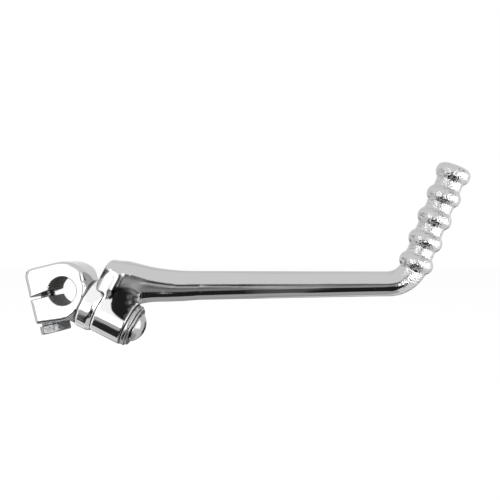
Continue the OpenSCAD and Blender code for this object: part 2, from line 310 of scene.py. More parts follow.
def dress(piece, body, nodes, material):
    """Give a finished piece its material, its body and the CAD nodes that it stands for."""
    piece.data.materials.clear()
    piece.data.materials.append(material)
    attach(piece, body)
    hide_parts(*nodes)


# ---------------------------------------------------------------- materials

FORGED_CHROME = "bright chrome plate on forged steel"
# Second tones of the finishes, as sRGB hex
# The first of these is the lighter mottle in the painted shade and dark reflection of the neck's root
PAINTED_SHADE_MOTTLE, OXIDE_BROWN, WORN_ZINC, OIL_FILM = "747474", "4A4744", "565759", "7C7F84"

# Sockets of a Mix node that mixes colours, which share their names with its other sockets
MIX_A, MIX_B, MIX_RESULT = 6, 7, 2
WHITE = (1, 1, 1, 1)
# Settings that several nodes share
MIX_COLOURS = {"data_type": "RGBA"}
SOFT_RANGE = {"interpolation_type": "SMOOTHSTEP"}


def add_node(tree, kind, settings=None, links=None, sockets=None):
    """Add one node: settings are its properties, sockets its constant inputs, links its inputs' sources."""
    node = tree.nodes.new(kind)
    for key, value in (settings or {}).items():
        setattr(node, key, value)
    for key, value in (sockets or {}).items():
        node.inputs[key].default_value = value
    for key, source in (links or {}).items():
        tree.links.new(source, node.inputs[key])
    return node


def spread(low, high):
    """Sockets of a Map Range node that spread a noise pattern, mostly 0.3 to 0.7, from low to high."""
    return {"From Min": 0.3, "From Max": 0.7, "To Min": low, "To Max": high}


def blank_material(name):
    """A node material with only its output, and the output node."""
    material = bpy.data.materials.new(name)
    material.use_nodes = True
    material.node_tree.nodes.clear()
    return material, material.node_tree, add_node(material.node_tree, "ShaderNodeOutputMaterial")


def forged_chrome(look):
    """Bright chrome plate on a polished forging.

    Chrome plating follows the steel under it. A mirror finish shows the forging's low waves,
    a foot pedal that is only tumbled shows its grain, and the plate doesn't reach into a bore.
    A brighter plate colour on the barrel and collar is a painted highlight, and a dark mottled tone
    where the pieces mark it is painted shade and painted dark reflection."""
    material, tree, output = blank_material(FORGED_CHROME)
    place = add_node(tree, "ShaderNodeTexCoord").outputs["Object"]
    axes = add_node(tree, "ShaderNodeSeparateXYZ", links={0: place})

    # The grain comes in along the bend, from X = 170 mm to 184 mm
    pedal = add_node(tree, "ShaderNodeMapRange", SOFT_RANGE,
                     {"Value": axes.outputs["X"]},
                     {"From Min": 170 * MM, "From Max": 184 * MM}).outputs["Result"]

    # Oxide inside the bore: up to 8.2 mm from the shaft's axis, and not out on the clamp's two faces
    across = add_node(tree, "ShaderNodeCombineXYZ", links={"X": axes.outputs["X"], "Y": axes.outputs["Z"]})
    from_shaft = add_node(tree, "ShaderNodeVectorMath", {"operation": "LENGTH"},
                          {0: across.outputs["Vector"]}).outputs["Value"]
    bore = add_node(tree, "ShaderNodeMapRange", SOFT_RANGE,
                    {"Value": from_shaft},
                    {"From Min": 8.2 * MM, "From Max": 8.6 * MM,
                     "To Min": 1.0, "To Max": 0.0}).outputs["Result"]
    depth = add_node(tree, "ShaderNodeMath", {"operation": "ABSOLUTE"},
                     {0: axes.outputs["Y"]}).outputs["Value"]
    inside = add_node(tree, "ShaderNodeMapRange", SOFT_RANGE,
                      {"Value": depth},
                      {"From Min": 11.7 * MM, "From Max": 12.4 * MM,
                       "To Min": 1.0, "To Max": 0.0}).outputs["Result"]
    oxide = add_node(tree, "ShaderNodeMath", {"operation": "MULTIPLY"}, {0: bore, 1: inside}).outputs["Value"]

    # Low waves that polishing leaves, 7 mm apart
    waves = add_node(tree, "ShaderNodeTexNoise", links={"Vector": place},
                     sockets={"Scale": 1 / (7 * MM), "Detail": 1.0, "Roughness": 0.4}).outputs["Fac"]
    # Orange peel of the plate, finer than this in truth: 0.9 mm apart here, so that it shows
    peel = add_node(tree, "ShaderNodeTexNoise", links={"Vector": place},
                    sockets={"Scale": 1 / (0.9 * MM), "Detail": 2.0, "Roughness": 0.5}).outputs["Fac"]
    # Tumbled grain of the pedal, 0.95 mm apart
    grain = add_node(tree, "ShaderNodeTexVoronoi", {"feature": "SMOOTH_F1"}, {"Vector": place},
                     {"Scale": 1 / (0.95 * MM), "Smoothness": 0.5}).outputs["Distance"]
    # Pits in the oxidised bore, 0.5 mm apart
    pits = add_node(tree, "ShaderNodeTexNoise", links={"Vector": place},
                    sockets={"Scale": 1 / (0.5 * MM), "Detail": 4.0, "Roughness": 0.7}).outputs["Fac"]

    wavy = add_node(tree, "ShaderNodeBump", links={"Height": waves},
                    sockets={"Strength": 1.0, "Distance": 0.035 * MM})
    peeled = add_node(tree, "ShaderNodeBump", links={"Height": peel, "Normal": wavy.outputs["Normal"]},
                      sockets={"Strength": 1.0, "Distance": 0.0035 * MM})
    grained = add_node(tree, "ShaderNodeBump",
                       links={"Height": grain, "Strength": pedal, "Normal": peeled.outputs["Normal"]},
                       sockets={"Distance": 0.22 * MM})
    pitted = add_node(tree, "ShaderNodeBump",
                      links={"Height": pits, "Strength": oxide, "Normal": grained.outputs["Normal"]},
                      sockets={"Distance": 0.15 * MM})

    # Polishing haze, in patches 12 mm across
    haze = add_node(tree, "ShaderNodeTexNoise", links={"Vector": place},
                    sockets={"Scale": 1 / (12 * MM), "Detail": 3.0, "Roughness": 0.6}).outputs["Fac"]
    rough = look.chrome_roughness
    gloss = add_node(tree, "ShaderNodeMapRange", links={"Value": haze},
                     sockets=spread(0.6 * rough, 1.5 * rough)).outputs["Result"]
    # The turned barrel and collar get a brighter plate colour than the forged skin: a painted highlight that
    # makes them look lit white
    turned = add_node(tree, "ShaderNodeAttribute", {"attribute_name": "turned"}).outputs["Fac"]
    plate = add_node(tree, "ShaderNodeMix", MIX_COLOURS, {"Factor": turned},
                     {MIX_A: (*look.chrome, 1), MIX_B: (*look.bright_chrome, 1)})
    chrome = add_node(tree, "ShaderNodeBsdfPrincipled",
                      links={"Base Color": plate.outputs[MIX_RESULT], "Roughness": gloss,
                             "Normal": grained.outputs["Normal"]},
                      sockets={"Metallic": 1.0})

    # Painted shade and painted dark reflection where the pieces mark them: a dark plate tone with a lighter
    # mottle 2.5 mm across, over a slightly bumped surface. The mottle grows towards the barrel's end, from X
    # = 29 mm to 37 mm, and leaves the root's corner darkest
    recess = add_node(tree, "ShaderNodeAttribute", {"attribute_name": "recess"}).outputs["Fac"]
    mottle = add_node(tree, "ShaderNodeTexNoise", links={"Vector": place},
                     sockets={"Scale": 1 / (2.5 * MM), "Detail": 2.0, "Roughness": 0.5}).outputs["Fac"]
    outwards = add_node(tree, "ShaderNodeMapRange", SOFT_RANGE,
                        {"Value": axes.outputs["X"]},
                        {"From Min": 29 * MM, "From Max": 37 * MM,
                         "To Min": 0.25, "To Max": 1.0}).outputs["Result"]
    shown = add_node(tree, "ShaderNodeMath", {"operation": "MULTIPLY"},
                     {0: mottle, 1: outwards}).outputs["Value"]
    painted_shade_tone = add_node(tree, "ShaderNodeValToRGB", links={"Fac": shown})
    stops = (0.30, look.skin), (0.70, linear(PAINTED_SHADE_MOTTLE))
    for element, (position, tone) in zip(painted_shade_tone.color_ramp.elements, stops):
        element.position = position
        element.color = (*tone, 1)
    skin_bump = add_node(tree, "ShaderNodeBump", links={"Height": mottle, "Normal": wavy.outputs["Normal"]},
                         sockets={"Strength": 1.0, "Distance": 0.03 * MM})
    # Dark shader for the painted shade and painted dark reflection
    skin = add_node(tree, "ShaderNodeBsdfPrincipled",
                    links={"Base Color": painted_shade_tone.outputs["Color"], "Normal": skin_bump.outputs["Normal"]},
                    sockets={"Metallic": 1.0, "Roughness": 0.3})
    plated = add_node(tree, "ShaderNodeMixShader",
                      links={"Fac": recess, 1: chrome.outputs["BSDF"], 2: skin.outputs["BSDF"]})

    # Black iron oxide with a little brown where the plate ends
    stain = add_node(tree, "ShaderNodeMix", MIX_COLOURS, {"Factor": pits},
                     {MIX_A: (*look.oxide, 1), MIX_B: (*linear(OXIDE_BROWN), 1)})
    scale = add_node(tree, "ShaderNodeBsdfPrincipled",
                     links={"Base Color": stain.outputs[MIX_RESULT], "Normal": pitted.outputs["Normal"]},
                     sockets={"Roughness": 0.55})
    both = add_node(tree, "ShaderNodeMixShader",
                    links={"Fac": oxide, 1: plated.outputs["Shader"], 2: scale.outputs["BSDF"]})
    tree.links.new(both.outputs["Shader"], output.inputs["Surface"])
    return material


def turned_chrome(look):
    """Chrome plate on turned steel: the tool's rings stay in the plate as fine lines."""
    material, tree, output = blank_material("chrome plate on turned steel")
    place = add_node(tree, "ShaderNodeTexCoord").outputs["Object"]
    # Rings run about the pivot axis, so the pattern is turned until that axis is Z
    turned = add_node(tree, "ShaderNodeMapping", links={"Vector": place},
                      sockets={"Rotation": (0, math.radians(-90 - PIVOT_TILT), 0)}).outputs["Vector"]
    # The texture repeats every 0.314 of its own length, so rings lie 0.7 mm apart: finer in truth, but they
    # wouldn't show
    rings = add_node(tree, "ShaderNodeTexWave",
                     {"wave_type": "RINGS", "rings_direction": "Z", "wave_profile": "SIN"},
                     {"Vector": turned},
                     {"Scale": 1 / (2.2 * MM), "Distortion": 0.6, "Detail": 1.0}).outputs["Fac"]
    # Handling haze, in patches 3 mm across
    haze = add_node(tree, "ShaderNodeTexNoise", links={"Vector": place},
                    sockets={"Scale": 1 / (3 * MM), "Detail": 3.0}).outputs["Fac"]
    gloss = add_node(tree, "ShaderNodeMapRange", links={"Value": haze},
                     sockets=spread(0.10, 0.22)).outputs["Result"]
    bump = add_node(tree, "ShaderNodeBump", links={"Height": rings},
                    sockets={"Strength": 0.6, "Distance": 0.006 * MM})
    chrome = add_node(tree, "ShaderNodeBsdfPrincipled",
                      links={"Roughness": gloss, "Normal": bump.outputs["Normal"]},
                      sockets={"Base Color": (*look.washer_chrome, 1), "Metallic": 1.0})
    tree.links.new(chrome.outputs["BSDF"], output.inputs["Surface"])
    return material


def zinc_plate(look):
    """Dull zinc plate on a cold-headed bolt: soft grey, with the drawn steel's streaks along the bolt."""
    material, tree, output = blank_material("dull zinc plate on cold-headed steel")
    place = add_node(tree, "ShaderNodeTexCoord").outputs["Object"]
    # Streaks 0.45 mm apart, drawn out eight times as long along the bolt
    along = add_node(tree, "ShaderNodeMapping", {"vector_type": "POINT"}, {"Vector": place},
                     {"Rotation": (0, math.radians(-SLOT_TILT), 0), "Scale": (1, 1, 0.12)}).outputs["Vector"]
    streaks = add_node(tree, "ShaderNodeTexNoise", links={"Vector": along},
                       sockets={"Scale": 1 / (0.45 * MM), "Detail": 3.0, "Roughness": 0.6}).outputs["Fac"]
    # Worn patches, 1.4 mm across
    patches = add_node(tree, "ShaderNodeTexNoise", links={"Vector": place},
                       sockets={"Scale": 1 / (1.4 * MM), "Detail": 4.0, "Roughness": 0.65}).outputs["Fac"]
    worn = add_node(tree, "ShaderNodeMapRange", links={"Value": patches},
                    sockets={"From Min": 0.36, "From Max": 0.62}).outputs["Result"]
    tone = add_node(tree, "ShaderNodeMix", MIX_COLOURS, {"Factor": worn},
                    {MIX_A: (*linear(WORN_ZINC), 1), MIX_B: (*look.zinc, 1)})
    gloss = add_node(tree, "ShaderNodeMapRange", links={"Value": patches},
                     sockets=spread(0.26, 0.42)).outputs["Result"]
    bump = add_node(tree, "ShaderNodeBump", links={"Height": streaks},
                    sockets={"Strength": 0.8, "Distance": 0.03 * MM})
    zinc = add_node(tree, "ShaderNodeBsdfPrincipled",
                    links={"Base Color": tone.outputs[MIX_RESULT], "Roughness": gloss,
                           "Normal": bump.outputs["Normal"]},
                    sockets={"Metallic": 1.0})
    tree.links.new(zinc.outputs["BSDF"], output.inputs["Surface"])
    return material


def oiled_spring_steel(look):
    """Hardened spring steel under a film of oil: dark, slightly blue, with a soft shine."""
    material, tree, output = blank_material("oiled hardened spring steel")
    place = add_node(tree, "ShaderNodeTexCoord").outputs["Object"]
    # The oil gathers in patches 1.5 mm across
    film = add_node(tree, "ShaderNodeTexNoise", links={"Vector": place},
                    sockets={"Scale": 1 / (1.5 * MM), "Detail": 3.0, "Roughness": 0.6}).outputs["Fac"]
    tone = add_node(tree, "ShaderNodeMix", MIX_COLOURS, {"Factor": film},
                    {MIX_A: (*look.spring, 1), MIX_B: (*linear(OIL_FILM), 1)})
    gloss = add_node(tree, "ShaderNodeMapRange", links={"Value": film},
                     sockets=spread(0.18, 0.34)).outputs["Result"]
    steel = add_node(tree, "ShaderNodeBsdfPrincipled",
                     links={"Base Color": tone.outputs[MIX_RESULT], "Roughness": gloss},
                     sockets={"Metallic": 1.0, "Coat Weight": 0.3, "Coat Roughness": 0.1})
    tree.links.new(steel.outputs["BSDF"], output.inputs["Surface"])
    return material


# ---------------------------------------------------------------- what a user may change

LENGTH = {"unit": "LENGTH", "precision": 5}
COLOUR = {"subtype": "COLOR", "size": 3, "min": 0, "max": 1}


class LeverSizes(bpy.types.PropertyGroup):
    """Sizes of the forms that the solids leave to this script"""
    arm_voxel: bpy.props.FloatProperty(
        name="Arm mesh size", description="Size of the faces on the arm's forging",
        default=0.46 * MM, min=0.4 * MM, max=1 * MM, **LENGTH)
    arm_softness: bpy.props.IntProperty(
        name="Arm polish", description="How far polishing has rounded the arm's edges",
        default=12, min=0, max=40)
    knuckle_voxel: bpy.props.FloatProperty(
        name="Clamp mesh size", description="Size of the faces on the clamp's forging",
        default=0.34 * MM, min=0.33 * MM, max=1 * MM, **LENGTH)
    knuckle_softness: bpy.props.IntProperty(
        name="Clamp polish", description="How far polishing has rounded the clamp's edges",
        default=6, min=0, max=40)
    rim_softness: bpy.props.IntProperty(
        name="Clamp rim polish", description="How far polishing has rounded the clamp's outer edges",
        default=50, min=0, max=120)
    thread_pitch: bpy.props.FloatProperty(
        name="Thread pitch", description="Pitch of the pinch bolt's thread",
        default=1.25 * MM, min=0.5 * MM, max=2 * MM, **LENGTH)
    hex_chamfer: bpy.props.FloatProperty(
        name="Head chamfer", description="How far the bolt head's corners are turned down",
        default=1.1 * MM, min=0.1 * MM, max=2 * MM, **LENGTH)
    split_gap: bpy.props.FloatProperty(
        name="Washer split", description="Width of the spring washer's split",
        default=0.9 * MM, min=0.2 * MM, max=2 * MM, **LENGTH)
    socket_flats: bpy.props.FloatProperty(
        name="Socket size", description="Width across the flats of the pivot bolt's socket",
        default=5 * MM, min=3 * MM, max=6 * MM, **LENGTH)


class LeverFinishes(bpy.types.PropertyGroup):
    """Colours of the plated and bare steels, of the painted highlight and painted shade, and of the floor"""
    chrome: bpy.props.FloatVectorProperty(
        name="Chrome", description="Colour of the chrome plate",
        default=linear("C6C6C6"), **COLOUR)
    # Painted highlight: the plate colour that makes the turned barrel and collar look lit white
    bright_chrome: bpy.props.FloatVectorProperty(
        name="Bright chrome", description="Colour of the plate on the turned barrel and collar",
        default=linear("F3F3F3"), **COLOUR)
    washer_chrome: bpy.props.FloatVectorProperty(
        name="Washer chrome", description="Colour of the plate on the washers and the pivot bolt",
        default=linear("B4B4B4"), **COLOUR)
    chrome_roughness: bpy.props.FloatProperty(
        name="Chrome haze", description="Roughness of the polished chrome",
        subtype="FACTOR", default=0.06, min=0, max=1)
    oxide: bpy.props.FloatVectorProperty(
        name="Bore oxide", description="Colour of the bare steel inside the bore",
        default=linear("2B2A29"), **COLOUR)
    # Painted shade and painted dark reflection in the neck's root, not a colour of the steel
    skin: bpy.props.FloatVectorProperty(
        name="Forged skin", description="Colour of the thin plate in the neck's root",
        default=linear("1C1C1C"), **COLOUR)
    zinc: bpy.props.FloatVectorProperty(
        name="Zinc", description="Colour of the zinc plate",
        default=linear("B2B3B4"), **COLOUR)
    spring: bpy.props.FloatVectorProperty(
        name="Spring steel", description="Colour of the ball and its spring",
        default=linear("5A5C60"), **COLOUR)
    floor: bpy.props.FloatVectorProperty(
        name="Floor", description="Colour of the floor",
        default=linear("FAFAFA"), **COLOUR)


# ---------------------------------------------------------------- the pieces

class LEVER_OT_forged_arm(bpy.types.Operator):
    """Swivelling arm: one forging with its barrel, tapered beam and beaded pedal"""
    bl_idname = "lever.forged_arm"
    bl_label = "Forged arm"

    def execute(self, context):
        sizes, look = context.scene.lever_sizes, context.scene.lever_finishes
        piece = copy_of_node("arm", "arm_forging")
        apply_modifier(piece, "REMESH", mode="VOXEL", voxel_size=sizes.arm_voxel, use_smooth_shade=True)
        self.flare_root(piece)
        apply_modifier(piece, "SMOOTH", factor=0.5, iterations=sizes.arm_softness)
        take(piece)
        bpy.ops.object.shade_smooth()
        # Painted shade and dark reflection, then the painted highlight on the barrel
        self.paint_recess_shade(piece)
        paint_turned_highlight(piece, BARREL_START, BARREL_R)
        dress(piece, "arm", ["arm"], forged_chrome(look))
        return {"FINISHED"}

    def root_places(self, piece):
        """For each point, in mm: its half width, its place along the pivot axis, its height above that
        axis and the height of the root's lower edge there."""
        local = pivot_points(piece)
        half, along, up = np.abs(local[:, 1]), local[:, 2], -local[:, 0]
        return half, along, up, np.interp(along, *zip(*ROOT_LINE))

    def flare_root(self, piece):
        """Draw the neck's flanks out until they run into the barrel's sides, as a forging's root does."""
        half, along, up, foot = self.root_places(piece)
        waist = np.interp(along, WAIST_ALONG, WAIST_HALF)
        foot_half = np.sqrt(np.maximum(BARREL_R ** 2 - foot ** 2, 0))
        share = np.clip((up - foot) / (ROOT_TOP - foot), 0, 1)
        flank = waist + (foot_half - waist) * (1 - share) ** 1.35
        # Not the bore and the ball's pocket, which lie deeper
        skin = (half > 4.5) & (np.hypot(half, up) > 9) & (up > foot - 0.2) & (up < ROOT_TOP)
        grow = np.where(skin, np.maximum(0, flank - half), 0)
        grow *= soft_band(along, 24.0, 24.9, 36.1, 36.8)
        # The head's flat sides reach as far as the neck's waist, with a crisp bend there
        flat = (half > 5) & (up > 12.5) & (up < 25) & (along > 17) & (along < 25.5)
        fill = np.where(flat, np.maximum(0, HEAD_HALF - half), 0)
        fill *= (1 - soft_step(along, 22.9, 24.9)) * soft_band(up, 12.5, 14, 22.6, 24.6)
        place = points_of(piece)
        place[:, 1] += np.sign(place[:, 1]) * np.maximum(grow, fill) * MM
        piece.data.vertices.foreach_set("co", place.ravel())
        piece.data.update()

    def paint_recess_shade(self, piece):
        """Paint shade and dark reflection on the neck's root, beside the head's flat, round the barrel's last
        edge and in the head's outer corner.
        """
        half, along, up, foot = self.root_places(piece)
        reach = np.hypot(half, up)
        # Painted shade and painted dark reflection on the neck's root, above its lower edge
        root = soft_step(up, foot - 0.2, foot + 0.3) * (1 - soft_step(up, 15.5, 19.5))
        root *= soft_band(along, 22.6, 23.2, 36.2, 36.7)
        # Painted shade beside the head's flat, where the neck begins
        crease = soft_band(along, 22.8, 23.4, 24.8, 25.8) * soft_band(up, 12, 13, 21.6, 23.8)
        # Painted shade in the gap round the barrel's last edge, beside the washer
        edge = soft_step(along, 36.65, 36.95) * soft_band(reach, 10.6, 11.2, 12.2, 12.6)
        # Painted dark reflection in the head's outer corner, wider towards its top
        wedge = soft_step(15.0 + 0.42 * (up - 15.8) - along, -0.2, 0.3)
        wedge *= soft_band(up, 15.8, 16.8, 21.6, 22.2) * soft_step(half, 7.5, 8.5)
        paint(piece, "recess", np.maximum.reduce((root, 0.8 * crease, 0.85 * edge, 0.85 * wedge)))


class LEVER_OT_clamp_knuckle(bpy.types.Operator):
    """Knuckle: the splined pinch clamp with its turned collar and spigot"""
    bl_idname = "lever.clamp_knuckle"
    bl_label = "Clamp knuckle"

    def execute(self, context):
        sizes, look = context.scene.lever_sizes, context.scene.lever_finishes
        piece = copy_of_node("knuckle", "knuckle_forging")
        apply_modifier(piece, "REMESH", mode="VOXEL", voxel_size=sizes.knuckle_voxel, use_smooth_shade=True)
        # The serrations stay crisp, and everything outside the bore is polished
        place = points_of(piece) / MM
        polish(piece, "polished", np.hypot(place[:, 0], place[:, 2]) > 8.8, sizes.knuckle_softness)
        polish(piece, "rim", self.outer_edges(piece), sizes.rim_softness)
        apply_modifier(piece, "SMOOTH", factor=0.5, iterations=1)
        take(piece)
        bpy.ops.object.shade_smooth()
        # Painted highlight on the collar, and painted shade in the groove behind it
        paint_turned_highlight(piece, COLLAR_START, COLLAR_R)
        self.paint_recess_shade(piece)
        material = bpy.data.materials.get(FORGED_CHROME) or forged_chrome(look)
        dress(piece, "knuckle", ["knuckle"], material)
        return {"FINISHED"}

    def outer_edges(self, piece):
        """Where the wheel rounds the clamp most: far out, towards both faces and away from the slot."""
        place = points_of(piece) / MM
        turn = np.array(clamp_place().inverted())
        from_slot = np.abs(place @ turn[2, :3] + turn[2, 3] / MM)
        outer = (np.abs(place[:, 1]) > 8.5) & (np.hypot(place[:, 0], place[:, 2]) > 10.5) & (from_slot > 2)
        return outer & (pivot_points(piece)[:, 2] < 8)

    def paint_recess_shade(self, piece):
        """Paint shade into the groove behind the collar, where the boss and the collar meet."""
        local = pivot_points(piece)
        groove = soft_band(local[:, 2], BOSS_END - 0.3, BOSS_END + 0.1,
                           COLLAR_START - 0.2, COLLAR_START + 0.2)
        paint(piece, "recess", 0.7 * groove * soft_step(np.hypot(local[:, 0], local[:, 1]), 10, 11))


class LEVER_OT_pinch_fastener(bpy.types.Operator):
    """Hexagon head pinch bolt with its rolled thread, and the split spring washer under its head"""
    bl_idname = "lever.pinch_fastener"
    bl_label = "Pinch bolt and washer"

    def execute(self, context):
        sizes, look = context.scene.lever_sizes, context.scene.lever_finishes
        zinc = zinc_plate(look)
        bolt = join([self.head(sizes), self.shank(sizes)], "pinch_bolt_detail")
        outward(bolt)
        smooth(bolt, 32)
        settle(bolt, clamp_place())
        dress(bolt, "knuckle", ["pinch_bolt"], zinc)

        # Spring washer, split towards the back left, where the clamp's ear hides it least
        washer = turned_ring("pinch_spring_washer", SPLIT_WASHER_BORE_R, SPLIT_WASHER_R,
                             SPLIT_WASHER_LOW, SPLIT_WASHER_HIGH, 0.2, segments=2, steps=72,
                             gap=sizes.split_gap / (SPLIT_WASHER_R * MM))
        smooth(washer, 40)
        settle(washer, clamp_place() @ Matrix.Rotation(math.radians(205), 4, "Z"))
        dress(washer, "knuckle", ["pinch_washer"], zinc)
        return {"FINISHED"}

    def head(self, sizes):
        """A hexagon with soft edges that is turned down at both ends, by a bar with a cone at each end."""
        corner = corner_radius(HEAD_FLATS)
        head = bar(6, corner, HEAD_LOW, HEAD_HIGH, turn=30)
        edit(head, "EDGE")
        bpy.ops.mesh.bevel(offset=0.3 * MM, segments=3)
        cutter = bar(96, corner + 0.05, HEAD_LOW, HEAD_HIGH)
        edit(cutter, "EDGE", "DESELECT")
        bevel_end(cutter, HEAD_LOW, sizes.hex_chamfer / MM, 1)
        bevel_end(cutter, HEAD_HIGH, 0.5, 1)
        cut(head, cutter, "INTERSECT")
        return head

    def shank(self, sizes):
        """A disc that is extruded step by step, then rolled into a thread above the slot."""
        sunk, steps = 0.6, 96
        thread_depth, tip_chamfer, tip = 0.62, 0.5, 0.2
        start_clean()
        bpy.ops.mesh.primitive_circle_add(vertices=32, radius=SHANK_R * MM, fill_type="NGON",
                                          location=(0, 0, (HEAD_HIGH - sunk) * MM))
        shank = bpy.context.object
        apply_place(shank)
        edit(shank, "FACE")
        rise = (SHANK_TOP - HEAD_HIGH + sunk) / steps
        for _ in range(steps):
            bpy.ops.mesh.extrude_region_move(TRANSFORM_OT_translate={"value": (0, 0, rise * MM)})
        bpy.ops.object.mode_set(mode="OBJECT")
        for v in shank.data.vertices:
            height = v.co.z / MM
            turn = math.atan2(v.co.y, v.co.x) / (2 * math.pi)
            groove = abs(2 * ((v.co.z / sizes.thread_pitch - turn) % 1) - 1)
            # The thread deepens over 2 mm, and the last ring is turned down to the bolt's tip
            depth = thread_depth * groove * min(1, max(0, (height + 1) / 2))
            depth += tip_chamfer if height > SHANK_TOP - tip else 0
            reach = math.hypot(v.co.x, v.co.y)
            v.co.x *= (reach - depth * MM) / reach
            v.co.y *= (reach - depth * MM) / reach
        return shank


class LEVER_OT_pivot_stack(bpy.types.Operator):
    """What holds the arm on its pivot: plain washer, wave washer and domed socket bolt"""
    bl_idname = "lever.pivot_stack"
    bl_label = "Pivot bolt and washers"

    def execute(self, context):
        sizes, look = context.scene.lever_sizes, context.scene.lever_finishes
        plain = turned_ring("plain_washer_rounded", WASHER_BORE_R, PLAIN_WASHER_R,
                            SPIGOT_END, PLAIN_WASHER_END, 0.4)
        # The wave washer is a thinner ring, pushed up and down three times round
        wave = turned_ring("wave_washer_sprung", WASHER_BORE_R, WAVE_WASHER_R,
                           PLAIN_WASHER_END + 0.2, WAVE_WASHER_END - 0.2, 0.25)
        for v in wave.data.vertices:
            v.co.z += 0.19 * MM * math.cos(3 * math.atan2(v.co.y, v.co.x))
        bolt = join([self.dome(sizes), self.shank()], "pivot_bolt_domed")
        outward(bolt)

        chrome = turned_chrome(look)
        for piece, angle, node in ((plain, 50, "plain_washer"), (wave, 50, "wave_washer"),
                                   (bolt, 35, "pivot_bolt")):
            smooth(piece, angle)
            settle(piece, pivot_place())
            dress(piece, "knuckle", [node], chrome)
        return {"FINISHED"}

    def dome(self, sizes):
        """The cap of a ball, cut off level, with its rim carried down and rounded, and with its socket."""
        cap_h = DOME_H - DOME_RIM
        ball_r = (DOME_R ** 2 + cap_h ** 2) / (2 * cap_h)
        top = WAVE_WASHER_END + DOME_H
        cap_low = WAVE_WASHER_END + DOME_RIM
        start_clean()
        bpy.ops.mesh.primitive_uv_sphere_add(segments=96, ring_count=96, radius=ball_r * MM,
                                             location=(0, 0, (top - ball_r) * MM))
        dome = bpy.context.object
        apply_place(dome)
        edit(dome)
        bpy.ops.mesh.bisect(plane_co=(0, 0, cap_low * MM), plane_no=(0, 0, 1), clear_inner=True)
        pick(dome, lambda v: v.co.z < (cap_low + 0.001) * MM)
        for part in (0.6, 0.4):
            bpy.ops.mesh.extrude_region_move(TRANSFORM_OT_translate={"value": (0, 0, -DOME_RIM * part * MM)})
        bpy.ops.transform.resize(value=(0.94, 0.94, 1), center_override=(0, 0, 0))
        bpy.ops.mesh.edge_face_add()
        bpy.ops.object.mode_set(mode="OBJECT")
        outward(dome)
        socket = bar(6, corner_radius(sizes.socket_flats / MM), top - SOCKET_DEPTH, top - SOCKET_DEPTH + 5)
        cut(dome, socket, "DIFFERENCE")
        return dome

    def shank(self):
        """The plain shank behind the dome, as long as in the solids, with its tip rounded."""
        low = pivot_points(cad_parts["pivot_bolt"])[:, 2].min()
        shank = bar(48, SHANK_R, low, WAVE_WASHER_END + 0.3)
        edit(shank, "EDGE", "DESELECT")
        bevel_end(shank, low, 0.7, 2)
        bpy.ops.object.mode_set(mode="OBJECT")
        return shank


class LEVER_OT_detent_parts(bpy.types.Operator):
    """Finish for the detent ball and its spring, which keep their solids' shape"""
    bl_idname = "lever.detent_parts"
    bl_label = "Detent ball and spring"

    def execute(self, context):
        steel = oiled_spring_steel(context.scene.lever_finishes)
        for node in ("detent_ball", "detent_spring"):
            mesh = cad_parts[node].data
            if mesh.materials:
                for i in range(len(mesh.materials)):
                    mesh.materials[i] = steel
            else:
                mesh.materials.append(steel)
        return {"FINISHED"}


# ---------------------------------------------------------------- the stage

# Middle of the light tent, which the lamps aim at, and the tent's radius, in metres
MIDDLE, TENT_R = (0.08, 0, 0), 0.6
# Share of the floor's look that is a plain glow where it is seen, and the rest of it keeps the shadow
FLOOR_GLOW = 0.94
LAMPS = (
    # name, place and side in metres, power in watts
    ("lamp_top", (0.10, -0.10, 0.75), 0.9, 7.0),
    ("lamp_left", (-0.55, -0.55, 0.35), 0.6, 3.5),
    ("lamp_right", (0.75, -0.45, 0.35), 0.6, 3.0),
)


def window(values, low, high, soft):
    """1 between low and high, with soft edges."""
    return soft_band(values, low - soft, low + soft, high - soft, high + soft)


